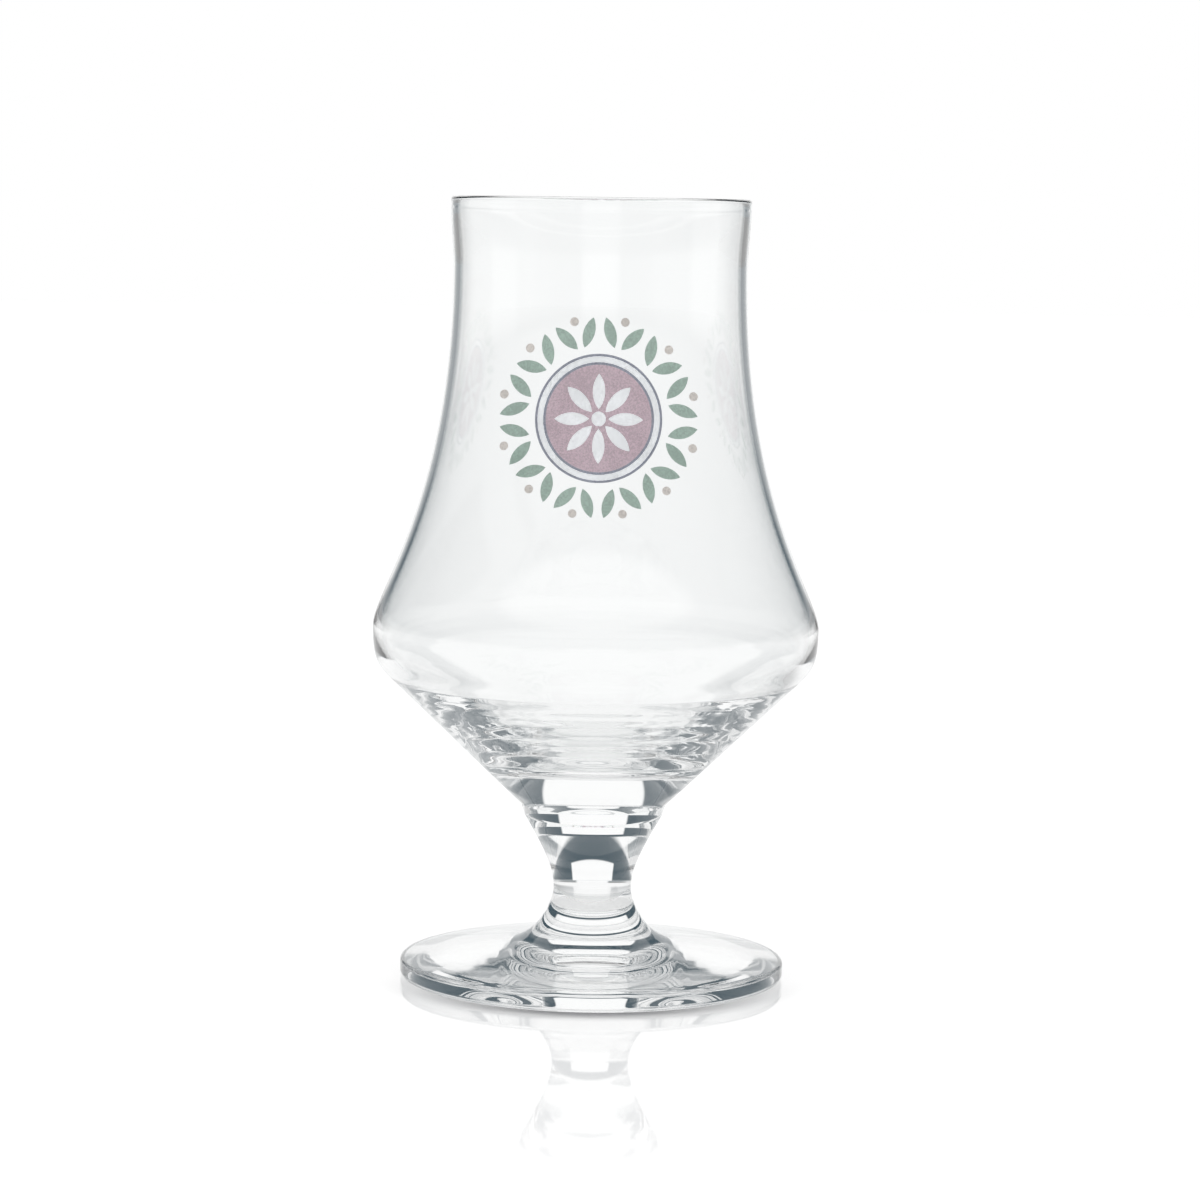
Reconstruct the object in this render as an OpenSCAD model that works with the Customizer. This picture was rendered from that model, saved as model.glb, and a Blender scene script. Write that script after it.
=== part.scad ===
// Tulip beer glass: a blown bowl on a short solid stem and a pressed foot,
// with a rosette fired on the bowl's front in five ceramic inks.
// Millimetres. The glass stands on Z = 0 with its axis on Z, and the print faces -Y.

/* [Rim and waist] */
// Height of the whole glass, table to rim
glass_h = 152; // [140:1:170]
// Outside diameter at the rim
rim_d = 58; // [54:0.5:66]
// Outside diameter at the narrowest place of the chimney
waist_d = 56.8; // [50:0.2:62]
// Distance from the rim down to the waist
waist_drop = 13.5; // [6:0.5:26]

/* [Belly and cone] */
// Outside diameter at the widest place
belly_d = 86.8; // [78:0.2:96]
// Height of the widest place above the table
belly_z = 69; // [64:0.5:78]
// Outside diameter at the top of the straight cone
cone_d = 81; // [72:0.5:84]
// Height of the top of the straight cone
cone_z = 59.4; // [52:0.2:62]

/* [Stem] */
// Outside diameter of the weld between bowl and stem
bowl_weld_d = 28.2; // [22:0.2:34]
// Height of that weld above the table
bowl_weld_z = 34; // [28:0.5:42]
// Height of the upright collar just below the weld
collar_h = 2; // [0.6:0.1:3]
// How much wider the weld is than the foot of its collar
collar_step = 0.6; // [0:0.1:1]
// Slope of the upper flare, in degrees from upright
flare_angle = 30.4; // [20:0.2:34]
// Diameter of the neck, the narrowest place of the stem
neck_d = 15.2; // [11:0.2:20]
// Height of the neck above the table
neck_z = 17.4; // [14:0.2:22]
// Slope of the lower flare where it meets the foot, in degrees from upright
spread_angle = 41.5; // [30:0.5:52]

/* [Foot] */
// Diameter of the foot
foot_d = 75; // [66:0.5:90]
// Thickness of the foot at its edge
foot_edge_t = 3.7; // [2.5:0.1:6]
// Diameter of the weld between stem and foot
foot_weld_d = 22.2; // [18:0.2:28]
// Height of that weld above the table
foot_weld_z = 9.8; // [8:0.1:12]
// Diameter at which the boss has run out into the foot's shallow cone
foot_swell_d = 36; // [32:0.5:46]
// Height of the foot's top at that diameter
foot_swell_h = 6.4; // [4.5:0.1:7.5]
// Radius of the rounded upper edge
foot_top_round = 0.9; // [0.3:0.1:1.2]
// Radius of the rounded lower edge
foot_low_round = 1.2; // [0.3:0.1:1.2]
// Width of the flat ring that the glass stands on
rest_ring_w = 5; // [3:0.5:10]
// Height of the shallow dome under the foot, inside that ring
foot_hollow = 2; // [0.4:0.1:3]

/* [Walls] */
// Wall at the waist
waist_wall = 1.3; // [0.9:0.1:2.5]
// Wall at the belly
belly_wall = 1.5; // [1:0.1:3]
// Wall at the top of the cone
cone_wall = 1.8; // [1.2:0.1:3]
// Wall at the bottom of the cone, where the cavity begins to round
low_wall = 4.2; // [2.5:0.1:5]
// Glass between the weld and the cavity's flat floor
bottom_t = 9.6; // [4:0.2:12]
// Height above that floor at which the cavity begins to round
cavity_round_h = 1.6; // [1:0.2:4]
// Wall just below the rim
rim_wall = 1.2; // [0.8:0.1:2]
// Diameter of the fire-polished bead at the rim
bead_d = 1.3; // [1:0.1:2.5]

/* [Print] */
// Distance from the rim down to the rosette's centre
print_drop = 44.5; // [40:0.5:50]
// Thickness of the fired ink
ink_t = 0.08; // [0.04:0.02:0.2]
// Diameter of the red field
field_d = 22; // [20:0.5:24]
// Width of each dark line round the field
line_w = 0.5; // [0.3:0.1:0.8]
// Width of the silver ring between the dark lines
ring_w = 1.2; // [0.6:0.1:1.6]
// Petals in the rosette
petal_count = 8; // [5:1:12]
// Length of a petal
petal_l = 7.2; // [4:0.2:7.4]
// Width of a petal
petal_w = 2.6; // [1:0.2:3]
// Diameter of the rosette's button
button_d = 3; // [1.6:0.2:3.2]
// Leaves in the wreath, in pairs
leaf_pairs = 12; // [8:1:14]
// Length of a leaf
leaf_l = 6.4; // [4:0.2:7]
// Width of a leaf
leaf_w = 2.4; // [1:0.1:2.6]
// Lean of a leaf from the radius, in degrees
leaf_lean = 24; // [10:1:30]
// Gap between the silver ring's line and the wreath
wreath_gap = 1.2; // [0.6:0.1:2]
// Diameter of a bead between the leaf pairs
berry_d = 1.8; // [0.8:0.1:2]

/* [Hidden] */

// Points on each free curve of an outline
curve_steps = 20;
$fn = 96;

// How far a curve keeps its end's direction, as a share of its height
waist_pull_share = 0.65;
belly_up_share = 0.09;
belly_down_share = 0.68;
cone_pull_share = 0.18;
lip_pull_share = 0.35;
neck_pull_share = 0.2;
flare_pull_share = 0.6;
spread_pull_share = 0.3;
boss_pull_share = 0.45;
boss_run_share = 0.9;
dome_flat_share = 0.5;
dome_edge_share = 0.8;
dome_drop_share = 0.3;
floor_pull_share = 0.5;
floor_flat_share = 0.73;
// Places of the motif's parts along the radius, as shares of the wreath's depth
berry_place_share = 0.92;
pair_spread_share = 0.24;

waist_z = glass_h - waist_drop;
print_z = glass_h - print_drop;
weld_r = bowl_weld_d / 2;
cone_slope = (cone_d - bowl_weld_d) / 2 / (cone_z - bowl_weld_z);
cone_angle = atan(cone_slope);
collar_r = weld_r - collar_step;
collar_z = bowl_weld_z - collar_h;
floor_z = bowl_weld_z + bottom_t;
turn_z = floor_z + cavity_round_h;
bead_z = glass_h - bead_d / 2;

glass_tint = [0.86, 0.93, 0.93, 0.4];
ink_red = [0.55, 0.16, 0.2];
ink_silver = [0.72, 0.74, 0.78];
ink_green = [0.3, 0.45, 0.34];
ink_tan = [0.68, 0.52, 0.4];
ink_dark = [0.26, 0.31, 0.38];

// Points of a cubic curve from a to d that leaves towards b and arrives from c, without its first point
function curve(a, b, c, d) = [
    for (i = [1:curve_steps])
        let (t = i / curve_steps, u = 1 - t)
            u * u * u * a + 3 * u * u * t * b + 3 * u * t * t * c + t * t * t * d
];

// Outline points turned back to front
function reversed(points) = [for (i = [len(points) - 1:-1:0]) points[i]];

// Outside radius of the straight cone at a height
function cone_r(z) = weld_r + (z - bowl_weld_z) * cone_slope;

// The bowl's side from the top of the cone to the bead, set in by a wall at each station
function side(cone_in, belly_in, waist_in, rim_in) =
    let (
        low_h = belly_z - cone_z,
        up_h = waist_z - belly_z,
        lip_h = bead_z - waist_z,
        cone_p = [cone_d / 2 - cone_in, cone_z],
        belly_p = [belly_d / 2 - belly_in, belly_z],
        waist_p = [waist_d / 2 - waist_in, waist_z],
        rim_p = [rim_d / 2 - rim_in, bead_z]
    )
    concat(
        [cone_p],
        curve(
            cone_p,
            cone_p + low_h * cone_pull_share * [cone_slope, 1],
            belly_p - [0, low_h * belly_down_share],
            belly_p
        ),
        curve(
            belly_p,
            belly_p + [0, up_h * belly_up_share],
            waist_p - [0, up_h * waist_pull_share],
            waist_p
        ),
        curve(waist_p, waist_p + [0, lip_h * lip_pull_share], rim_p - [0, lip_h * lip_pull_share], rim_p)
    );

outside = side(0, 0, 0, 0);
inside = side(cone_wall / cos(cone_angle), belly_wall, waist_wall, rim_wall);

// The cavity's flat floor with its rounded corner, from the axis out to the inner cone
turn_p = [cone_r(turn_z) - low_wall / cos(cone_angle), turn_z];
floor_p = [turn_p[0] * floor_flat_share, floor_z];
cavity_floor = concat(
    [[0, floor_z], floor_p],
    curve(
        floor_p,
        floor_p + [(turn_p[0] - floor_p[0]) * floor_pull_share, 0],
        turn_p - cavity_round_h * floor_pull_share * [cone_slope, 1],
        turn_p
    )
);

// The bowl: a thin wall that thickens down the cone to a solid bottom
module bowl() {
    color(glass_tint)
    rotate_extrude() {
        polygon(concat(
            [[0, bowl_weld_z], [weld_r, bowl_weld_z]],
            outside,
            reversed(inside),
            reversed(cavity_floor)
        ));
        translate([rim_d / 2 - bead_d / 2, bead_z])
            circle(d = bead_d);
    }
}

// The stem: solid, drawn in to a neck, with a flare and an upright collar at the bowl
module stem() {
    neck_p = [neck_d / 2, neck_z];
    spread_p = [foot_weld_d / 2, foot_weld_z];
    collar_p = [collar_r, collar_z];
    low_h = neck_z - foot_weld_z;
    up_h = collar_z - neck_z;
    color(glass_tint)
    rotate_extrude()
        polygon(concat(
            [[0, foot_weld_z], spread_p],
            curve(
                spread_p,
                spread_p + low_h * spread_pull_share * [-tan(spread_angle), 1],
                neck_p - [0, low_h * spread_pull_share],
                neck_p
            ),
            curve(
                neck_p,
                neck_p + [0, up_h * neck_pull_share],
                collar_p - up_h * flare_pull_share * [tan(flare_angle), 1],
                collar_p
            ),
            [[weld_r, bowl_weld_z], [0, bowl_weld_z]]
        ));
}

// The foot: a pressed disc with a shallow conical top that swells to the weld, and a slightly domed base
module foot() {
    foot_r = foot_d / 2;
    dome_r = foot_r - foot_low_round - rest_ring_w;
    swell_p = [foot_swell_d / 2, foot_swell_h];
    weld_p = [foot_weld_d / 2, foot_weld_z];
    top_slope = (foot_swell_h - foot_edge_t) / (foot_r - foot_swell_d / 2);
    boss_h = foot_weld_z - foot_swell_h;
    arc_steps = 8;
    color(glass_tint)
    rotate_extrude()
        polygon(concat(
            [[0, foot_hollow]],
            curve(
                [0, foot_hollow],
                [dome_r * dome_flat_share, foot_hollow],
                [dome_r * dome_edge_share, foot_hollow * dome_drop_share],
                [dome_r, 0]
            ),
            [for (i = [0:arc_steps])
                [foot_r - foot_low_round, foot_low_round]
                    + foot_low_round * [sin(90 * i / arc_steps), -cos(90 * i / arc_steps)]],
            [for (i = [0:arc_steps])
                [foot_r - foot_top_round, foot_edge_t - foot_top_round]
                    + foot_top_round * [cos(90 * i / arc_steps), sin(90 * i / arc_steps)]],
            [swell_p],
            curve(
                swell_p,
                swell_p + boss_h * boss_run_share * [-1, top_slope],
                weld_p + boss_h * boss_pull_share * [tan(spread_angle), -1],
                weld_p
            ),
            [[0, foot_weld_z]]
        ));
}

// A leaf or petal of a length and a width, pointed at both ends, along Y
module pointed(l, w) {
    side_r = (l * l + w * w) / (4 * w);
    intersection() {
        translate([side_r - w / 2, 0])
            circle(r = side_r);
        translate([w / 2 - side_r, 0])
            circle(r = side_r);
    }
}

module ring(inner_d, w) {
    difference() {
        circle(d = inner_d + 2 * w);
        circle(d = inner_d);
    }
}

// Rings of the print, from the field outwards, each starting where the last one ends
silver_ring_d = field_d + 2 * line_w;
outer_line_d = silver_ring_d + 2 * ring_w;
wreath_r = outer_line_d / 2 + line_w + wreath_gap;

module rosette() {
    circle(d = button_d);
    for (i = [0:petal_count - 1])
        rotate(360 * i / petal_count)
            translate([0, button_d / 2 + line_w + petal_l / 2])
                pointed(petal_l, petal_w);
}

module wreath() {
    step = 360 / leaf_pairs;
    for (i = [0:leaf_pairs - 1], hand = [-1, 1])
        rotate(step * (i + hand * pair_spread_share))
            translate([0, wreath_r + leaf_l / 2])
                rotate(-hand * leaf_lean)
                    pointed(leaf_l, leaf_w);
}

module berries() {
    for (i = [0:leaf_pairs - 1])
        rotate(360 * (i + 1 / 2) / leaf_pairs)
            translate([0, wreath_r + leaf_l * berry_place_share])
                circle(d = berry_d);
}

// The skin of ink that a flat motif leaves on the front of the wall
module printed(tint) {
    color(tint)
    intersection() {
        rotate_extrude()
            polygon(concat(
                outside,
                reversed([for (p = outside) p + [ink_t, 0]])
            ));
        translate([0, 0, print_z])
            rotate([90, 0, 0])
                linear_extrude(belly_d)
                    children();
    }
}

module print_red() {
    printed(ink_red)
        difference() {
            circle(d = field_d);
            rosette();
        }
}

module print_silver() {
    printed(ink_silver) {
        rosette();
        ring(silver_ring_d, ring_w);
    }
}

module print_green() {
    printed(ink_green)
        wreath();
}

module print_tan() {
    printed(ink_tan)
        berries();
}

module print_outline() {
    printed(ink_dark) {
        ring(field_d, line_w);
        ring(outer_line_d, line_w);
    }
}

bowl();
stem();
foot();
print_red();
print_silver();
print_green();
print_tan();
print_outline();
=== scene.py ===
# %% [markdown]
# A tulip beer glass, told as a lesson in Blender.
# The glass is three pieces of clear glass that a flame has joined: a blown bowl, a short solid stem and
# a pressed foot. Five ceramic inks are fired onto the front of the bowl.
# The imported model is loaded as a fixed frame. It says where each piece is, and it is never moved.

# %% Load the frame
import math

import bmesh
import bpy
from mathutils import Euler, Matrix, Vector, noise


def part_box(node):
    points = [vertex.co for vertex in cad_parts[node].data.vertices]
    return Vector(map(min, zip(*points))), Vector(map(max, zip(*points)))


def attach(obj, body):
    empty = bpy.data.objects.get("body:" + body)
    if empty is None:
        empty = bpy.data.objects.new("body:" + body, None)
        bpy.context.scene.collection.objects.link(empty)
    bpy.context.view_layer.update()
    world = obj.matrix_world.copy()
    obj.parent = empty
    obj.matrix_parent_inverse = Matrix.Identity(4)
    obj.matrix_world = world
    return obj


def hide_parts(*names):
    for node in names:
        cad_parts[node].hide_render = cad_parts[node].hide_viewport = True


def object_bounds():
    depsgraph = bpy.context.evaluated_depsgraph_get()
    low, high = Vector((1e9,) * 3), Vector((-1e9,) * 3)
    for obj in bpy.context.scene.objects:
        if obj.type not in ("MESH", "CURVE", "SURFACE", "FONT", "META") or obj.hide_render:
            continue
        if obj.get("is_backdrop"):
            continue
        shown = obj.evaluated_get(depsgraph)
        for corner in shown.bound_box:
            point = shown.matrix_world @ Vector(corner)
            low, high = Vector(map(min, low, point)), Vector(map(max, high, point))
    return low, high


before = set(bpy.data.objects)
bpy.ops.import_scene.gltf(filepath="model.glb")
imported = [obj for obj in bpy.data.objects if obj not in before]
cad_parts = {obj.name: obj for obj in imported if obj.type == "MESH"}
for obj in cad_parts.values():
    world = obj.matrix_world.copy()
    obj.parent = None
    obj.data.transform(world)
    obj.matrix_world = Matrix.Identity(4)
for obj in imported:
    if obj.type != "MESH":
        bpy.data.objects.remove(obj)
cad_low, cad_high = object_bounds()
MM = 0.001


def in_mm(lengths):
    """Lengths in metres as rounded millimetres, for the prints."""
    return [round(v / MM, 2) for v in lengths]


print("frame:", sorted(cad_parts), "size in mm:", in_mm(cad_high - cad_low))

# %% [markdown]
# The camera comes first, because every later look is judged through it. It stands at the photograph's
# viewing angle: behind the print, so that the print shows through the bowl, a little above the rim, and
# pitched down by six degrees. A long lens keeps the rim nearly edge-on. The small roll leans the glass as
# the photograph does.

# %% Camera
IMAGE_SIDE_PX = 1200
SENSOR_W_MM = 36
FOCAL_PX = 4016.8
CAMERA_BACK = 778.0 * MM
CAMERA_HEIGHT = 156.1 * MM
CAMERA_PITCH = math.radians(6.02)
CAMERA_ROLL = math.radians(0.80)
AXIS_LEFT_OF_CENTRE_PX = 3.9
CLIP_NEAR = 10 * MM
CLIP_FAR = 50.0


def photo_camera():
    data = bpy.data.cameras.new("photo_camera")
    data.sensor_width = SENSOR_W_MM
    data.lens = FOCAL_PX * SENSOR_W_MM / IMAGE_SIDE_PX
    data.clip_start = CLIP_NEAR
    data.clip_end = CLIP_FAR
    camera = bpy.data.objects.new("photo_camera", data)
    bpy.context.scene.collection.objects.link(camera)
    camera.location = (0, CAMERA_BACK, CAMERA_HEIGHT)
    turn = math.pi - math.atan(AXIS_LEFT_OF_CENTRE_PX / FOCAL_PX)
    aim = Euler((math.pi / 2 - CAMERA_PITCH, 0, turn)).to_matrix()
    camera.rotation_euler = (aim @ Matrix.Rotation(CAMERA_ROLL, 3, "Z")).to_euler()
    bpy.context.scene.camera = camera
    print("camera lens in mm:", round(data.lens, 2))
    return camera


photo_camera()

# %% [markdown]
# Shader maths reads best as Python. One small class holds a node tree, and another wraps one output
# socket, so that the operators add Math nodes and 1 - mask works as it reads. Any other node comes from
# one method, and a colour is blended by a Mix node, because a Math node would turn it grey. A Mix node has
# a set of sockets for each kind of data, and the names below pick out those of a colour.

# %% Shader maths
MIX_FACTOR = 0
MIX_FIRST = 6
MIX_SECOND = 7
MIX_RESULT = 2


class Net:
    """One material's or world's node tree."""

    def __init__(self, owner):
        owner.use_nodes = True
        self.tree = owner.node_tree
        self.tree.nodes.clear()

    def node(self, kind, inputs=None, **settings):
        made = self.tree.nodes.new(kind)
        for key, value in settings.items():
            setattr(made, key, value)
        for key, value in (inputs or {}).items():
            self.feed(made.inputs[key], value)
        return made

    def feed(self, socket, value):
        if isinstance(value, Wire):
            self.tree.links.new(value.socket, socket)
        elif isinstance(value, bpy.types.NodeSocket):
            self.tree.links.new(value, socket)
        else:
            socket.default_value = value

    def wire(self, kind, output, inputs=None, **settings):
        return Wire(self, self.node(kind, inputs, **settings).outputs[output])

    def math(self, operation, *values):
        return self.wire("ShaderNodeMath", 0, dict(enumerate(values)), operation=operation)

    def vector(self, operation, output, *values):
        return self.wire("ShaderNodeVectorMath", output, dict(enumerate(values)), operation=operation)

    def smooth(self, value, low, high):
        """0 below low, 1 above high, and a smooth step between."""
        inputs = {"Value": value, "From Min": low, "From Max": high}
        return self.wire("ShaderNodeMapRange", "Result", inputs, interpolation_type="SMOOTHSTEP")

    def blend(self, factor, first, second):
        """A colour between two colours."""
        inputs = {MIX_FACTOR: factor, MIX_FIRST: first, MIX_SECOND: second}
        return self.wire("ShaderNodeMix", MIX_RESULT, inputs, data_type="RGBA")

    def noise(self, vector, scale, detail):
        return self.wire("ShaderNodeTexNoise", 0, {"Vector": vector, "Scale": scale, "Detail": detail})

    def end(self, kind, shader):
        """Joins the finished shader to the tree's output node."""
        self.node(kind, {"Surface": shader.outputs[0]})


class Wire:
    """One output socket that can be added, multiplied and so on."""

    def __init__(self, net, socket):
        self.net = net
        self.socket = socket

    def __add__(self, other):
        return self.net.math("ADD", self, other)

    def __radd__(self, other):
        return self.net.math("ADD", other, self)

    def __sub__(self, other):
        return self.net.math("SUBTRACT", self, other)

    def __rsub__(self, other):
        return self.net.math("SUBTRACT", other, self)

    def __mul__(self, other):
        return self.net.math("MULTIPLY", self, other)

    def __rmul__(self, other):
        return self.net.math("MULTIPLY", other, self)

    def __truediv__(self, other):
        return self.net.math("DIVIDE", self, other)

    def __pow__(self, other):
        return self.net.math("POWER", self, other)

    def max(self, other):
        return self.net.math("MAXIMUM", self, other)

    def min(self, other):
        return self.net.math("MINIMUM", self, other)


# %% [markdown]
# The studio. Glass has almost no colour of its own: it shows what stands round it. Straight behind it
# stands a white panel, so a wall seen square on looks clear. Beside and above the panel the room is dark
# up to a bright ceiling, so a wall that curves away, and the solid stem, bend the view into the dark and
# draw the outlines and dark arches that make glass read. Along the horizon runs a low bright band with
# greyer gaps beside its lanes, and it serves the views from the other sides. The camera itself sees plain
# white, and light that has met ink or table once is plain and even. All this could be lamps and lit
# boards. It is painted into the world instead, because a world stands in nobody's way and can show glass
# one thing and the camera another.

# %% Studio shapes
MAIN_PANEL_WAY = math.radians(270)
MAIN_PANEL_HALF = math.radians(20)
MAIN_PANEL_SOFT = math.radians(2)
MAIN_PANEL_FOOT = math.radians(1)
MAIN_PANEL_TOP = math.radians(20.5)
FRONT_LANE_HALF = math.radians(14)
FRONT_LANE_SOFT = math.radians(6)
FRONT_DARK_HALF = math.radians(32)
FRONT_DARK_SOFT = math.radians(28)
FRONT_DARK_DEPTH = 0.58
SIDE_PANEL_WAYS = [math.radians(90), math.radians(180)]
SIDE_PANEL_HALF = math.radians(10)
SIDE_PANEL_SOFT = math.radians(14)
SIDE_DARK_HALF = math.radians(34)
SIDE_DARK_SOFT = math.radians(26)
SIDE_DARK_DEPTH = 0.25
HORIZON_SHARE = 0.92
HORIZON_TOP = math.radians(1)
HORIZON_SOFT = math.radians(4)
ROOM_SHARE = 0.135
ROOM_TURN = 0.1
ROOM_REAR = 0.2
CEILING_ANGLE = math.radians(32)
TOP_SOFT_ANGLE = math.radians(1.5)
CEILING_SOFT_ANGLE = math.radians(4)
WHITE = (1, 1, 1, 1)
DARK_TINT = (0.0, 0.034, 0.056, 1)
AMBIENT_COLOUR = (0.95, 0.95, 0.95, 1)
LEAST_LENGTH = 0.000001


def flat_length(x, y):
    """Length on the level, kept off zero because it is divided by."""
    return ((x * x + y * y) ** 0.5).max(LEAST_LENGTH)


def lane(net, x, y, ways, half_angle, soft_angle):
    """1 within the half angle of any of the ways, seen from the glass, and 0 beside them."""
    length = flat_length(x, y)
    best = None
    for way in ways:
        along = (x * math.cos(way) + y * math.sin(way)) / length
        best = along if best is None else best.max(along)
    return net.smooth(best, math.cos(half_angle + soft_angle), math.cos(half_angle))


def horizon_light(net, x, y):
    """How bright the horizon is: bright panels, with darker gaps beside them that draw a glass's edges."""
    front = lane(net, x, y, [MAIN_PANEL_WAY], FRONT_LANE_HALF, FRONT_LANE_SOFT)
    side = lane(net, x, y, SIDE_PANEL_WAYS, SIDE_PANEL_HALF, SIDE_PANEL_SOFT)
    front_dark = lane(net, x, y, [MAIN_PANEL_WAY], FRONT_DARK_HALF, FRONT_DARK_SOFT) * FRONT_DARK_DEPTH
    side_dark = lane(net, x, y, SIDE_PANEL_WAYS, SIDE_DARK_HALF, SIDE_DARK_SOFT) * SIDE_DARK_DEPTH
    return front.max(side).max(HORIZON_SHARE - front_dark.max(side_dark))


def path_masks(net):
    """Masks for the camera's own rays and for rays that have only met glass or polish."""
    path = net.node("ShaderNodeLightPath")
    is_camera, is_glossy, is_through, depth = (
        Wire(net, path.outputs[name])
        for name in ("Is Camera Ray", "Is Glossy Ray", "Is Transmission Ray", "Diffuse Depth")
    )
    return is_camera, is_glossy.max(is_through) * (1 - depth.min(1))


def studio_world():
    world = bpy.data.worlds.new("studio")
    bpy.context.scene.world = world
    net = Net(world)
    direction = net.wire("ShaderNodeTexCoord", "Generated")
    split = net.node("ShaderNodeSeparateXYZ", {"Vector": direction})
    x, y, z = (Wire(net, split.outputs[i]) for i in range(3))

    def below(angle, soft=TOP_SOFT_ANGLE):
        return 1 - net.smooth(z, math.sin(angle), math.sin(angle + soft))

    behind = y / flat_length(x, y)
    panel = lane(net, x, y, [MAIN_PANEL_WAY], MAIN_PANEL_HALF, MAIN_PANEL_SOFT)
    main = panel * below(MAIN_PANEL_TOP) * (1 - below(MAIN_PANEL_FOOT))
    horizon = horizon_light(net, x, y) * below(HORIZON_TOP, HORIZON_SOFT)
    ceiling = net.smooth(z, math.sin(CEILING_ANGLE), math.sin(CEILING_ANGLE + CEILING_SOFT_ANGLE))
    lights = main.max(horizon).max(ceiling)
    bright = lights.max(behind * ROOM_TURN + behind.max(0) * ROOM_REAR + ROOM_SHARE)
    is_camera, through_glass = path_masks(net)
    room = net.blend(bright, DARK_TINT, WHITE)
    colour = net.blend(is_camera, net.blend(through_glass, AMBIENT_COLOUR, room), WHITE)
    net.end("ShaderNodeOutputWorld", net.node("ShaderNodeBackground", {"Color": colour, "Strength": 1.0}))
    print("world nodes:", len(net.tree.nodes))


studio_world()

# %% [markdown]
# The table is a wide white acrylic sheet. It has a white body and a polish that mirrors the foot and stem.
# The mirror image fades with the distance from the glass, because the sheet is polished best where the
# glass stands, and it is capped, so that a flat view doesn't find the dark room in it. The foot's front
# edge rests in a thin contact shadow. It is painted, because most of the white that the camera sees is the
# table's own glow, which no shadow darkens. What glass and polish see of the table carries painted shade
# too: it is greyer in a ring beside the glass and far from it, except in the lanes towards the panels, and
# the glass's edges pick up that grey.

# %% Table
TABLE_R = 4.0
TABLE_SIDES = 96
TABLE_DROP = 0.05 * MM
TABLE_POLISH_MOST = 0.34
TABLE_IOR = 1.5
TABLE_MIRROR_ROUGHNESS = 0.03
POLISH_FULL_R = 95 * MM
POLISH_END_R = 200 * MM
CONTACT_R = 37 * MM
CONTACT_END_R = 45 * MM
CONTACT_DEPTH = 0.68
CONTACT_SHADOW = (0.03, 0.03, 0.05, 1)
TABLE_BODY = 0.35
TABLE_GLOW = 0.75
TABLE_GLOW_IN_GLASS = 0.65
SHADE_START_R = 38 * MM
SHADE_FULL_R = 48 * MM
SHADE_FADE_R = 120 * MM
SHADE_END_R = 220 * MM
FAR_FADE_R = 650 * MM
FAR_END_R = 950 * MM
VIEW_LANE_WAYS = [math.radians(135), math.radians(315)]
VIEW_LANE_HALF = math.radians(15)
VIEW_LANE_SOFT = math.radians(10)


def table_material():
    material = bpy.data.materials.new("white_acrylic")
    net = Net(material)
    place = net.wire("ShaderNodeTexCoord", "Object")
    split = net.node("ShaderNodeSeparateXYZ", {"Vector": place})
    x, y = (Wire(net, split.outputs[i]) for i in range(2))
    reach = net.vector("LENGTH", "Value", place)
    glance = net.wire("ShaderNodeFresnel", 0, {"IOR": TABLE_IOR})
    polish = (1 - net.smooth(reach, POLISH_FULL_R, POLISH_END_R)) * glance.min(TABLE_POLISH_MOST)
    # Painted shade, seen only through glass and polish: a grey ring at the sides of the glass, and a greyer
    # far table.
    ring = net.smooth(reach, SHADE_START_R, SHADE_FULL_R) - net.smooth(reach, SHADE_FADE_R, SHADE_END_R)
    forward = y / flat_length(x, y)
    shade = ring * (1 - forward * forward)
    near = 1 - net.smooth(reach, FAR_FADE_R, FAR_END_R)
    view_lanes = lane(net, x, y, VIEW_LANE_WAYS, VIEW_LANE_HALF, VIEW_LANE_SOFT)
    far = (horizon_light(net, x, y) - TABLE_BODY) / (1 - TABLE_BODY)
    seen_light = far.max(near * view_lanes.max(1 - shade))
    is_camera, through_glass = path_masks(net)
    front = forward.max(0) * forward
    contact = (1 - net.smooth(reach, CONTACT_R, CONTACT_END_R)) * front * CONTACT_DEPTH * is_camera
    glow_strength = is_camera * TABLE_GLOW + through_glass * seen_light * TABLE_GLOW_IN_GLASS
    body = net.node("ShaderNodeBsdfDiffuse", {"Color": (TABLE_BODY, TABLE_BODY, TABLE_BODY, 1)})
    glow = net.node("ShaderNodeEmission", {"Color": WHITE, "Strength": glow_strength})
    lit = net.node("ShaderNodeAddShader", {0: body.outputs[0], 1: glow.outputs[0]})
    mirror = net.node("ShaderNodeBsdfGlossy", {"Color": WHITE, "Roughness": TABLE_MIRROR_ROUGHNESS})
    polished = net.node("ShaderNodeMixShader", {0: polish, 1: lit.outputs[0], 2: mirror.outputs[0]})
    dark = net.node("ShaderNodeBsdfDiffuse", {"Color": CONTACT_SHADOW})
    shadowed = net.node("ShaderNodeMixShader", {0: contact, 1: polished.outputs[0], 2: dark.outputs[0]})
    net.end("ShaderNodeOutputMaterial", shadowed)
    return material


def make_table():
    bm = bmesh.new()
    bmesh.ops.create_circle(bm, cap_ends=True, segments=TABLE_SIDES, radius=TABLE_R)
    bmesh.ops.translate(bm, verts=bm.verts, vec=(0, 0, -TABLE_DROP))
    mesh = bpy.data.meshes.new("table")
    bm.to_mesh(mesh)
    bm.free()
    table = bpy.data.objects.new("table", mesh)
    bpy.context.scene.collection.objects.link(table)
    table.data.materials.append(table_material())
    table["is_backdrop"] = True
    print("table radius in m:", TABLE_R)


make_table()

# %% [markdown]
# Glass needs many bounces: a look through the bowl passes four surfaces, and one through the foot is
# turned back inside it several times. A path that is cut short turns black.

# %% Light paths
PATH_BOUNCES = 32


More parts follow.
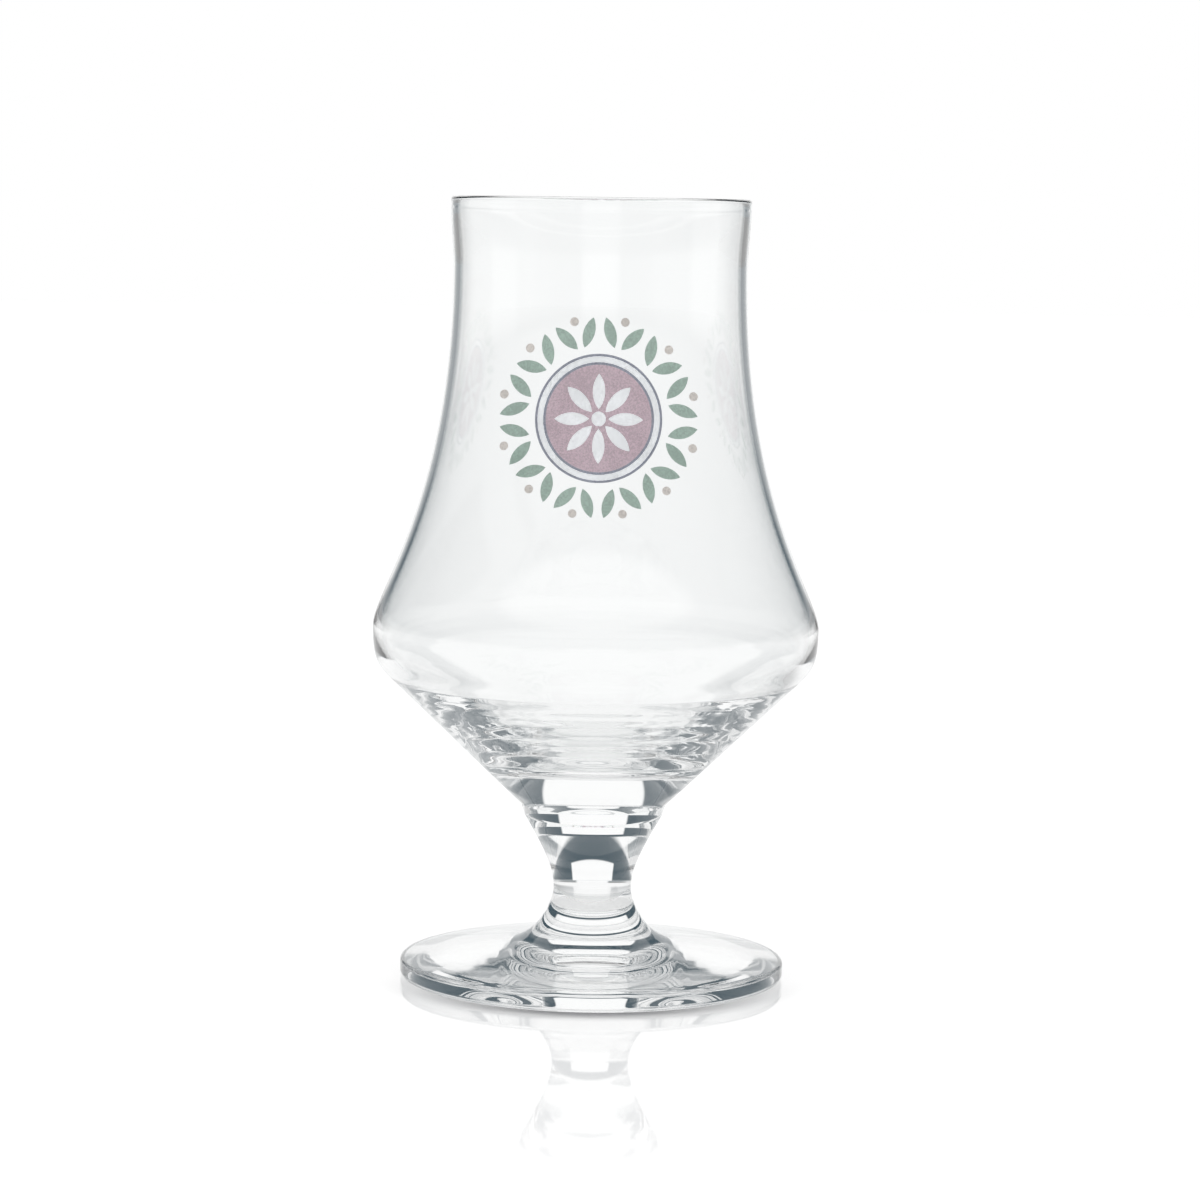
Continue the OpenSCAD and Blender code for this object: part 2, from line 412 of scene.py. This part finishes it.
def allow_bounces():
    cycles = bpy.context.scene.cycles
    cycles.max_bounces = PATH_BOUNCES
    cycles.transmission_bounces = PATH_BOUNCES
    cycles.glossy_bounces = PATH_BOUNCES
    cycles.transparent_max_bounces = PATH_BOUNCES
    cycles.caustics_refractive = True
    cycles.caustics_reflective = True
    view = bpy.context.scene.view_settings
    view.view_transform = "Standard"
    print("bounces:", cycles.max_bounces)


allow_bounces()

# %% [markdown]
# Clear soda-lime glass has a faint green-grey tint that only shows where the view runs a long way inside
# the wall. A Principled shader with full transmission gives the bending. A volume that swallows light
# would give the tint too, but it makes each path slow and can't be baked. So the surface's colour darkens a
# little where it turns edge-on, which stands for that long path. Where two pieces are welded, their faces
# meet inside the glass. Those faces are fully clear, because a second skin of glass would mirror there.

# %% Clear glass
GLASS_IOR = 1.52
GLASS_CLEAR = (0.992, 0.998, 0.997, 1)
GLASS_EDGE = (0.8, 0.86, 0.87, 1)
EDGE_BLEND = 0.5
EDGE_STARTS = 0.8


def clear_glass():
    material = bpy.data.materials.new("soda_glass")
    net = Net(material)
    facing = net.wire("ShaderNodeLayerWeight", "Facing", {"Blend": EDGE_BLEND})
    edge = net.smooth(facing, EDGE_STARTS, 1.0)
    glass = net.node("ShaderNodeBsdfPrincipled", {
        "Base Color": net.blend(edge, GLASS_CLEAR, GLASS_EDGE),
        "Roughness": 0.0,
        "IOR": GLASS_IOR,
        "Transmission Weight": 1.0,
    })
    net.end("ShaderNodeOutputMaterial", glass)
    return material


def weld_glass():
    """What a flame weld looks like from inside the glass: nothing at all."""
    material = bpy.data.materials.new("weld_glass")
    net = Net(material)
    net.end("ShaderNodeOutputMaterial", net.node("ShaderNodeBsdfTransparent", {"Color": WHITE}))
    return material


glass = clear_glass()
weld = weld_glass()
print("materials:", glass.name, weld.name)

# %% [markdown]
# A glass is a body of revolution, so each piece is an outline that is spun round the upright axis. A Screw
# modifier could spin it too, but the bmesh operator gives a closed mesh at once, which a later step can
# push about. The outline's free stretches are cubic curves between a few measured stations, as a glass
# maker's mould drawing gives them. How strongly a curve keeps its direction at a station is called its
# pull, a share of the height between the stations. Every finished piece takes the same last steps: soft
# shading with sharp edges kept, an object at the origin, and a ride on the frame's one body.

# %% Outline and lathe
def curve(a, b, c, d, steps):
    """Points of a cubic curve from a to d that leaves towards b and arrives from c, without its first."""
    points = []
    for i in range(1, steps + 1):
        t = i / steps
        u = 1 - t
        points.append(u * u * u * a + 3 * u * u * t * b + 3 * u * t * t * c + t * t * t * d)
    return points


def arc(centre, radius, start, end, steps):
    """Points of a circular arc in the outline's plane, angles from the outward direction."""
    points = []
    for i in range(steps + 1):
        angle = start + (end - start) * i / steps
        points.append(centre + radius * Vector((math.cos(angle), math.sin(angle))))
    return points


def line(a, b, steps):
    """Points of a straight stretch, without its first."""
    return [a.lerp(b, i / steps) for i in range(1, steps + 1)]


SHARP_ANGLE = math.radians(35)
SAME_POINT = 0.0005 * MM
SAME_HEIGHT = 0.01 * MM


def lathe(outline, segments):
    """A closed mesh from an outline that starts and ends on the axis."""
    bm = bmesh.new()
    verts = [bm.verts.new((p.x, 0, p.y)) for p in outline]
    edges = [bm.edges.new(pair) for pair in zip(verts, verts[1:])]
    bmesh.ops.spin(
        bm, geom=verts + edges, cent=(0, 0, 0), axis=(0, 0, 1), angle=2 * math.pi, steps=segments,
        use_merge=True,
    )
    bmesh.ops.remove_doubles(bm, verts=bm.verts, dist=SAME_POINT)
    bmesh.ops.recalc_face_normals(bm, faces=bm.faces)
    return bm


def finish_piece(name, bm, materials):
    """Shades a piece smooth between its sharp edges and makes it an object that rides on the body."""
    for edge in bm.edges:
        edge.smooth = edge.calc_face_angle(0) < SHARP_ANGLE
    for face in bm.faces:
        face.smooth = True
    mesh = bpy.data.meshes.new(name)
    bm.to_mesh(mesh)
    bm.free()
    for material in materials:
        mesh.materials.append(material)
    piece = bpy.data.objects.new(name, mesh)
    bpy.context.scene.collection.objects.link(piece)
    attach(piece, "root")
    print(name, "faces:", len(mesh.polygons), "size in mm:", in_mm(piece.dimensions))
    return piece


def glass_piece(name, node, bm, weld_heights):
    """Finishes a piece of glass, with the faces at its welds marked, and shows it for its node."""
    for face in bm.faces:
        flat = [h for h in weld_heights if all(abs(v.co.z - h) < SAME_HEIGHT for v in face.verts)]
        face.material_index = 1 if flat else 0
    piece = finish_piece(name, bm, (glass, weld))
    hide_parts(node)


# %% [markdown]
# The bowl. Its outside runs up a straight cone, turns over the belly, draws in to the waist and opens a
# little to the rim. The wall is thin at the rim and grows down the cone to a solid bottom. The cavity ends
# in a flat floor with a rounded corner, and that floor is what draws the thin ellipse and the two dark
# blocks over the stem. The rim is melted in a flame, which leaves a small round bead.

# %% Bowl outline
bowl_low, bowl_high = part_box("bowl")
GLASS_H = bowl_high.z
BELLY_R = (bowl_high.x - bowl_low.x) / 2
WELD_Z = bowl_low.z
RIM_R = 29.0 * MM
WAIST_R = 28.4 * MM
WAIST_DROP = 13.5 * MM
BELLY_Z = 69.0 * MM
CONE_R = 40.5 * MM
CONE_Z = 59.4 * MM
WELD_R = 14.1 * MM
BEAD_R = 0.65 * MM
WAIST_WALL = 1.3 * MM
BELLY_WALL = 1.5 * MM
CONE_WALL = 1.8 * MM
LOW_WALL = 4.2 * MM
RIM_WALL = 1.2 * MM
BOTTOM_T = 9.6 * MM
FLOOR_FLAT = 0.73
FLOOR_ROUND_H = 1.6 * MM
FLOOR_PULL = 0.5
CONE_PULL = 0.18
BELLY_LOW_PULL = 0.68
BELLY_HIGH_PULL = 0.09
WAIST_PULL = 0.65
LIP_PULL = 0.35
BOWL_SEGMENTS = 240
CONE_STEPS = 40
BELLY_STEPS = 24
SIDE_STEPS = 48
LIP_STEPS = 10
BEAD_STEPS = 16
CAVITY_CONE_STEPS = 90
FLOOR_ROUND_STEPS = 24
FLAT_STEPS = 12

CONE_SLOPE = (CONE_R - WELD_R) / (CONE_Z - WELD_Z)
CONE_ANGLE = math.atan(CONE_SLOPE)
WAIST_Z = GLASS_H - WAIST_DROP
BEAD_Z = GLASS_H - BEAD_R


def bowl_side(cone_in, belly_in, waist_in, rim_in):
    """The bowl's side from the top of the cone to the bead, set in by a wall at each station."""
    up = Vector((0, 1))
    cone_way = Vector((CONE_SLOPE, 1))
    low_h = BELLY_Z - CONE_Z
    up_h = WAIST_Z - BELLY_Z
    lip_h = BEAD_Z - WAIST_Z
    cone = Vector((CONE_R - cone_in, CONE_Z))
    belly = Vector((BELLY_R - belly_in, BELLY_Z))
    waist = Vector((WAIST_R - waist_in, WAIST_Z))
    rim = Vector((RIM_R - rim_in, BEAD_Z))
    return (
        [cone]
        + curve(
            cone, cone + CONE_PULL * low_h * cone_way, belly - BELLY_LOW_PULL * low_h * up, belly,
            BELLY_STEPS,
        )
        + curve(belly, belly + BELLY_HIGH_PULL * up_h * up, waist - WAIST_PULL * up_h * up, waist, SIDE_STEPS)
        + curve(waist, waist + LIP_PULL * lip_h * up, rim - LIP_PULL * lip_h * up, rim, LIP_STEPS)
    )


def bowl_outline():
    weld_edge = Vector((WELD_R, WELD_Z))
    outside = bowl_side(0, 0, 0, 0)
    inside = bowl_side(CONE_WALL / math.cos(CONE_ANGLE), BELLY_WALL, WAIST_WALL, RIM_WALL)
    bead_centre = Vector((RIM_R - BEAD_R, BEAD_Z))
    bead = arc(bead_centre, BEAD_R, 0, math.pi, BEAD_STEPS)
    floor_z = WELD_Z + BOTTOM_T
    turn_z = floor_z + FLOOR_ROUND_H
    turn_r = WELD_R + (turn_z - WELD_Z) * CONE_SLOPE - LOW_WALL / math.cos(CONE_ANGLE)
    turn = Vector((turn_r, turn_z))
    cone_way = Vector((CONE_SLOPE, 1))
    floor_edge = Vector((FLOOR_FLAT * turn.x, floor_z))
    floor_way = Vector((turn.x - floor_edge.x, 0))
    down = line(inside[0], turn, CAVITY_CONE_STEPS)
    round_floor = curve(
        turn, turn - FLOOR_PULL * FLOOR_ROUND_H * cone_way,
        floor_edge + FLOOR_PULL * floor_way, floor_edge, FLOOR_ROUND_STEPS,
    )
    floor = line(floor_edge, Vector((0, floor_z)), FLAT_STEPS)
    base = line(Vector((0, WELD_Z)), weld_edge, FLAT_STEPS)
    return (
        [Vector((0, WELD_Z))] + base + line(weld_edge, outside[0], CONE_STEPS) + outside[1:-1]
        + bead + inside[-2::-1] + down + round_floor + floor
    )


# %% [markdown]
# Blown glass is never quite true. The inner skin of the thick cone keeps fine level ripples from its
# forming, and they are what streaks the lower cone with light and dark. A bump in the material could stand
# for them. Here the mesh itself moves, so that the streaks stay with the shape wherever it is used. Each
# point of the inner cone moves in or out by a fraction of a tenth of a millimetre, by a smooth noise that
# is stretched round the bowl.

# %% Chill ripples
RIPPLE_LOW_Z = 37 * MM
RIPPLE_FULL_Z = 41 * MM
RIPPLE_FADE_Z = 54 * MM
RIPPLE_HIGH_Z = 64 * MM
RIPPLE_DEPTH = 0.07 * MM
RIPPLE_PITCH = 1.5 * MM
FINE_DEPTH = 0.008 * MM
FINE_PITCH = 0.9 * MM
FINE_SWAY = 0.5
ROUND_SWAY = 0.5
SKIN_INSET = 1.2 * MM
CLEAR_OF_AXIS = 1 * MM


def ease(value, low, high):
    """0 below low, 1 above high, and a smooth step between."""
    t = min(max((value - low) / (high - low), 0), 1)
    return t * t * (3 - 2 * t)


def chill_ripples(bm):
    """Pushes the inner skin of the cone in and out, and leaves the outer skin and the floor alone."""
    for v in bm.verts:
        reach = math.hypot(v.co.x, v.co.y)
        inner = reach < WELD_R + (v.co.z - WELD_Z) * CONE_SLOPE - SKIN_INSET
        if not inner or not RIPPLE_LOW_Z < v.co.z < RIPPLE_HIGH_Z or reach < CLEAR_OF_AXIS:
            continue
        fade = ease(v.co.z, RIPPLE_LOW_Z, RIPPLE_FULL_Z) * (1 - ease(v.co.z, RIPPLE_FADE_Z, RIPPLE_HIGH_Z))
        round_x = v.co.x / reach * ROUND_SWAY
        round_y = v.co.y / reach * ROUND_SWAY
        wave = noise.noise(Vector((round_x, round_y, v.co.z / RIPPLE_PITCH)))
        fine = noise.noise(Vector((FINE_SWAY * round_y, FINE_SWAY * round_x, v.co.z / FINE_PITCH)))
        push = fade * (RIPPLE_DEPTH * wave + FINE_DEPTH * fine)
        v.co.x += push * v.co.x / reach
        v.co.y += push * v.co.y / reach


bowl_mesh = lathe(bowl_outline(), BOWL_SEGMENTS)
chill_ripples(bowl_mesh)
glass_piece("bowl_glass", "bowl", bowl_mesh, [WELD_Z])

# %% [markdown]
# The stem is one solid drop of glass, drawn in to a neck. Its upper flare ends in a nearly upright collar
# at the weld to the bowl, and its lower flare spreads to the weld on the foot. It could be one outline with
# the bowl, but it stays a piece of its own, as it is before the flame joins them.

# %% Stem
FOOT_WELD_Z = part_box("stem")[0].z
FOOT_WELD_R = 11.1 * MM
NECK_R = 7.6 * MM
NECK_Z = 17.4 * MM
COLLAR_H = 2.0 * MM
COLLAR_STEP = 0.6 * MM
FLARE_ANGLE = math.radians(30.4)
NECK_PULL = 0.2
FLARE_PULL = 0.6
SPREAD_ANGLE = math.radians(41.5)
SPREAD_PULL = 0.3
STEM_SEGMENTS = 192
WELD_STEPS = 10
SPREAD_STEPS = 36
FLARE_STEPS = 64
COLLAR_STEPS = 6


def stem_outline():
    spread = Vector((FOOT_WELD_R, FOOT_WELD_Z))
    neck = Vector((NECK_R, NECK_Z))
    collar = Vector((WELD_R - COLLAR_STEP, WELD_Z - COLLAR_H))
    low_h = NECK_Z - FOOT_WELD_Z
    up_h = collar.y - NECK_Z
    spread_way = Vector((-math.tan(SPREAD_ANGLE), 1))
    flare_way = Vector((math.tan(FLARE_ANGLE), 1))
    up = Vector((0, 1))
    weld_edge = Vector((WELD_R, WELD_Z))
    return (
        [Vector((0, FOOT_WELD_Z))] + line(Vector((0, FOOT_WELD_Z)), spread, WELD_STEPS)
        + curve(
            spread, spread + SPREAD_PULL * low_h * spread_way, neck - SPREAD_PULL * low_h * up, neck,
            SPREAD_STEPS,
        )
        + curve(
            neck, neck + NECK_PULL * up_h * up, collar - FLARE_PULL * up_h * flare_way, collar, FLARE_STEPS,
        )
        + line(collar, weld_edge, COLLAR_STEPS) + line(weld_edge, Vector((0, WELD_Z)), FLAT_STEPS)
    )


glass_piece("stem_glass", "stem", lathe(stem_outline(), STEM_SEGMENTS), [WELD_Z, FOOT_WELD_Z])

# %% [markdown]
# The foot is pressed in a mould: a disc with rounded edges, a shallow conical top that swells to the
# weld, and a base that is domed underneath so that the glass stands on a ring. The dome shows through the
# foot as rings and grey fans, so its depth matters to the look.

# %% Foot
foot_low, foot_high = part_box("foot")
FOOT_R = (foot_high.x - foot_low.x) / 2
FOOT_EDGE_T = 3.7 * MM
FOOT_SWELL_R = 18.0 * MM
FOOT_SWELL_H = 6.4 * MM
FOOT_TOP_ROUND = 0.9 * MM
FOOT_LOW_ROUND = 1.2 * MM
REST_RING_W = 5.0 * MM
FOOT_DOME = 2.0 * MM
DOME_TOP_SHARE = 0.5
DOME_FLANK_SHARE = 0.8
DOME_FLANK_H_SHARE = 0.3
SWELL_PULL = 0.9
BOSS_PULL = 0.45
FOOT_SEGMENTS = 256
DOME_STEPS = 30
REST_RING_STEPS = 4
EDGE_STEPS = 12
TOP_STEPS = 30
BOSS_STEPS = 24


def foot_outline():
    dome_r = FOOT_R - FOOT_LOW_ROUND - REST_RING_W
    boss_h = FOOT_WELD_Z - FOOT_SWELL_H
    swell = Vector((FOOT_SWELL_R, FOOT_SWELL_H))
    weld_edge = Vector((FOOT_WELD_R, FOOT_WELD_Z))
    top_slope = (FOOT_SWELL_H - FOOT_EDGE_T) / (FOOT_R - FOOT_SWELL_R)
    dome = Vector((0, FOOT_DOME))
    dome_edge = Vector((dome_r, 0))
    low_centre = Vector((FOOT_R - FOOT_LOW_ROUND, FOOT_LOW_ROUND))
    top_centre = Vector((FOOT_R - FOOT_TOP_ROUND, FOOT_EDGE_T - FOOT_TOP_ROUND))
    dome_top = Vector((DOME_TOP_SHARE * dome_r, FOOT_DOME))
    dome_flank = Vector((DOME_FLANK_SHARE * dome_r, DOME_FLANK_H_SHARE * FOOT_DOME))
    top_edge = arc(top_centre, FOOT_TOP_ROUND, 0, math.pi / 2, EDGE_STEPS)
    return (
        [dome]
        + curve(dome, dome_top, dome_flank, dome_edge, DOME_STEPS)
        + line(dome_edge, Vector((low_centre.x, 0)), REST_RING_STEPS)
        + arc(low_centre, FOOT_LOW_ROUND, -math.pi / 2, 0, EDGE_STEPS)[1:]
        + top_edge
        + line(top_edge[-1], swell, TOP_STEPS)
        + curve(
            swell, swell + SWELL_PULL * boss_h * Vector((-1, top_slope)),
            weld_edge + BOSS_PULL * boss_h * Vector((math.tan(SPREAD_ANGLE), -1)), weld_edge, BOSS_STEPS,
        )
        + line(weld_edge, Vector((0, FOOT_WELD_Z)), WELD_STEPS)
    )


glass_piece("foot_glass", "foot", lathe(foot_outline(), FOOT_SEGMENTS), [FOOT_WELD_Z])

# %% [markdown]
# The print is five ceramic inks, pulled through a silk screen onto the front of the bowl and fired until
# they melt into the wall. Each ink is a skin less than a tenth of a millimetre thick. Its flat outline is
# filled, cut into a fine grid so that it can bend, extruded, and laid on the wall along the print's
# direction. The grid comes from bisecting, because that keeps the outline's own edges.

# %% Wall under the print
INK_T = 0.08 * MM
INK_GAP = 0.01 * MM
PRINT_DROP = 44.5 * MM
PRINT_Z = GLASS_H - PRINT_DROP
GRID_ACROSS = 0.7 * MM
GRID_UP = 1.5 * MM
PRINT_REACH = 24 * MM

wall_points = bowl_side(0, 0, 0, 0)


def wall_r(z):
    """Outside radius of the bowl's side at a height."""
    for low, high in zip(wall_points, wall_points[1:]):
        if low.y <= z <= high.y:
            return low.x + (high.x - low.x) * (z - low.y) / (high.y - low.y)
    raise ValueError("the print reaches past the wall")


print("wall radius at the print in mm:", in_mm([wall_r(PRINT_Z)]))

# %% [markdown]
# The motif: a red field with a silver rosette, a silver ring between two dark lines, and a green wreath
# with tan berries. Leaves and petals are one shape, two arcs that meet in points, set out by angle.

# %% Outlines of the motif
FIELD_R = 11.0 * MM
LINE_W = 0.5 * MM
RING_W = 1.2 * MM
PETALS = 8
PETAL_L = 7.2 * MM
PETAL_W = 2.6 * MM
BUTTON_R = 1.5 * MM
LEAF_PAIRS = 12
LEAF_L = 6.4 * MM
LEAF_W = 2.4 * MM
LEAF_LEAN = math.radians(24)
WREATH_GAP = 1.2 * MM
BERRY_R = 0.9 * MM
BERRY_PLACE_SHARE = 0.92
PAIR_SPREAD_SHARE = 0.24
BUTTON_STEPS = 32
BERRY_STEPS = 24
RING_STEPS = 128
LEAF_SIDE_STEPS = 14
SILVER_R = FIELD_R + LINE_W
OUTER_LINE_R = SILVER_R + RING_W
WREATH_R = OUTER_LINE_R + LINE_W + WREATH_GAP


def circle(radius, steps, centre=Vector((0, 0))):
    return arc(centre, radius, 0, 2 * math.pi, steps)[:-1]


def pointed(length, width):
    """A leaf along the second axis, pointed at both ends."""
    side_r = (length * length + width * width) / (4 * width)
    shift = Vector((side_r - width / 2, 0))
    half = math.asin(length / 2 / side_r)
    right = arc(-shift, side_r, -half, half, LEAF_SIDE_STEPS)
    left = arc(shift, side_r, math.pi - half, math.pi + half, LEAF_SIDE_STEPS)
    return right + left[1:-1]


def placed(points, out, angle, lean=0):
    """Points leaned, moved out along the second axis and turned round the motif's centre."""
    tilt = Matrix.Rotation(lean, 2)
    turn = Matrix.Rotation(angle, 2)
    return [turn @ (tilt @ p + Vector((0, out))) for p in points]


def rosette():
    petal_out = BUTTON_R + LINE_W + PETAL_L / 2
    petals = [placed(pointed(PETAL_L, PETAL_W), petal_out, 2 * math.pi * i / PETALS) for i in range(PETALS)]
    return [circle(BUTTON_R, BUTTON_STEPS)] + petals


def wreath():
    step = 2 * math.pi / LEAF_PAIRS
    leaf = pointed(LEAF_L, LEAF_W)
    out = WREATH_R + LEAF_L / 2
    return [
        placed(leaf, out, step * (i + hand * PAIR_SPREAD_SHARE), -hand * LEAF_LEAN)
        for i in range(LEAF_PAIRS) for hand in (-1, 1)
    ]


def berries():
    out = WREATH_R + LEAF_L * BERRY_PLACE_SHARE
    berry = circle(BERRY_R, BERRY_STEPS)
    return [placed(berry, out, 2 * math.pi * (i + 0.5) / LEAF_PAIRS) for i in range(LEAF_PAIRS)]


def ring(inner, width):
    return [circle(inner, RING_STEPS), circle(inner + width, RING_STEPS)]


# %% [markdown]
# Fired enamel is a satin, slightly grainy paint. The screen leaves a fine mesh of dots in it. The first
# coat, which faces the glass, is thin and chalky, so the colours look washed out from the other side of
# the bowl. The skin's back faces therefore have a paler finish of their own. Its paleness is partly that
# chalky coat and partly painted backlight, the daylight that comes through the thin ink, and a little glow
# on them is painted backlight too.

# %% Enamel
SCREEN_SCALE = 2600
CLOUD_SCALE = 160
ENAMEL_IOR = 1.5
PAINTED_BACKLIGHT_GLOW = 0.85
GRAIN_SHARE = 0.65
THIN_FROM = 0.35
THIN_TO = 0.65
THICK_INK = 0.86
THIN_INK = 1.12
THIN_INK_LIFT = 0.02
GRAIN_ROUGHNESS = 0.12
GRAIN_STRENGTH = 0.25
GRAIN_DEPTH = 0.01 * MM


def enamel(name, colour, roughness, glow=0.0):
    """A fired ink: fine screen grain, soft clouds of thicker and thinner ink, a satin surface and a painted
    backlight glow.
    """
    material = bpy.data.materials.new(name)
    net = Net(material)
    place = net.wire("ShaderNodeTexCoord", "Object")
    grain = net.noise(place, SCREEN_SCALE, detail=1)
    cloud = net.noise(place, CLOUD_SCALE, detail=3)
    thin = net.smooth(grain * GRAIN_SHARE + cloud * (1 - GRAIN_SHARE), THIN_FROM, THIN_TO)
    dark = tuple(THICK_INK * v for v in colour) + (1,)
    light = tuple(min(THIN_INK * v + THIN_INK_LIFT, 1) for v in colour) + (1,)
    bump = net.node("ShaderNodeBump", {"Height": grain, "Strength": GRAIN_STRENGTH, "Distance": GRAIN_DEPTH})
    tone = net.blend(thin, dark, light)
    paint = net.node("ShaderNodeBsdfPrincipled", {
        "Base Color": tone,
        # The emission is painted backlight: the daylight that comes through a thin first coat.
        "Emission Color": tone,
        "Emission Strength": glow,
        "Roughness": roughness + GRAIN_ROUGHNESS * (grain - 0.5),
        "IOR": ENAMEL_IOR,
        "Normal": bump.outputs[0],
    })
    net.end("ShaderNodeOutputMaterial", paint)
    return material


# %% [markdown]
# The making of one ink follows the steps named above: fill, grid, extrude, bend and finish. The faces that
# were there before the extrusion are the skin's back, against the glass.

# %% Ink skins
CUT_REACH = 0.001 * MM


def ink_skin(name, node, slot, loops, front, back):
    """A thin skin of ink on the bowl's wall, from closed loops of points in the motif's plane."""
    bm = bmesh.new()
    for points in loops:
        verts = [bm.verts.new((p.x, 0, p.y)) for p in points]
        for pair in zip(verts, verts[1:] + verts[:1]):
            bm.edges.new(pair)
    bmesh.ops.triangle_fill(bm, edges=bm.edges[:], use_beauty=True)
    for normal, step in ((Vector((1, 0, 0)), GRID_ACROSS), (Vector((0, 0, 1)), GRID_UP)):
        count = int(PRINT_REACH / step)
        for i in range(-count, count + 1):
            everything = bm.verts[:] + bm.edges[:] + bm.faces[:]
            place = normal * step * i
            bmesh.ops.bisect_plane(bm, geom=everything, dist=CUT_REACH, plane_co=place, plane_no=normal)
    back_faces = bm.faces[:]
    grown = bmesh.ops.extrude_face_region(bm, geom=back_faces, use_keep_orig=True)
    top = {v for v in grown["geom"] if isinstance(v, bmesh.types.BMVert)}
    for face in bm.faces:
        face.material_index = 0
    for face in back_faces:
        face.material_index = 1
    for v in bm.verts:
        reach = wall_r(v.co.z + PRINT_Z) + (INK_T if v in top else INK_GAP)
        v.co = Vector((v.co.x, -math.sqrt(reach * reach - v.co.x * v.co.x), v.co.z + PRINT_Z))
    bmesh.ops.recalc_face_normals(bm, faces=bm.faces)
    piece = finish_piece(name, bm, (front, back))
    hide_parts(node)


# %% [markdown]
# Each ink has its loops, a front colour, the colour that its first coat shows through the wall, which is
# paler partly for painted backlight, and the roughness of its fired surface. The red field leaves the
# rosette open, and the silver fills it.

# %% Print the five inks
dark_lines = ring(FIELD_R, LINE_W) + ring(OUTER_LINE_R, LINE_W)
INKS = {
    "red": ([circle(FIELD_R, RING_STEPS)] + rosette(), (0.36, 0.035, 0.055), (0.383, 0.275, 0.319), 0.38),
    "silver": (rosette() + ring(SILVER_R, RING_W), (0.56, 0.57, 0.6), (0.7, 0.71, 0.73), 0.3),
    "green": (wreath(), (0.06, 0.15, 0.085), (0.224, 0.312, 0.263), 0.4),
    "tan": (berries(), (0.4, 0.235, 0.13), (0.483, 0.44, 0.41), 0.4),
    "dark": (dark_lines, (0.035, 0.045, 0.065), (0.145, 0.155, 0.207), 0.36),
}
for ink, (loops, front_colour, back_colour, roughness) in INKS.items():
    node = "print_outline" if ink == "dark" else "print_" + ink
    front = enamel("enamel_" + ink, front_colour, roughness)
    # The back faces take the paler first-coat colour, partly painted backlight, and a glow of painted
    # backlight.
    back = enamel("backlit_first_coat_" + ink, back_colour, roughness, PAINTED_BACKLIGHT_GLOW)
    ink_skin("ink_" + ink, node, "ink_" + ink, loops, front, back)

# %% [markdown]
# Last, the sizes: the frame's box and the finished glass's box are written down.

# %% Sizes and finish
new_low, new_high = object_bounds()
print("visual size in mm:", in_mm(new_high - new_low))
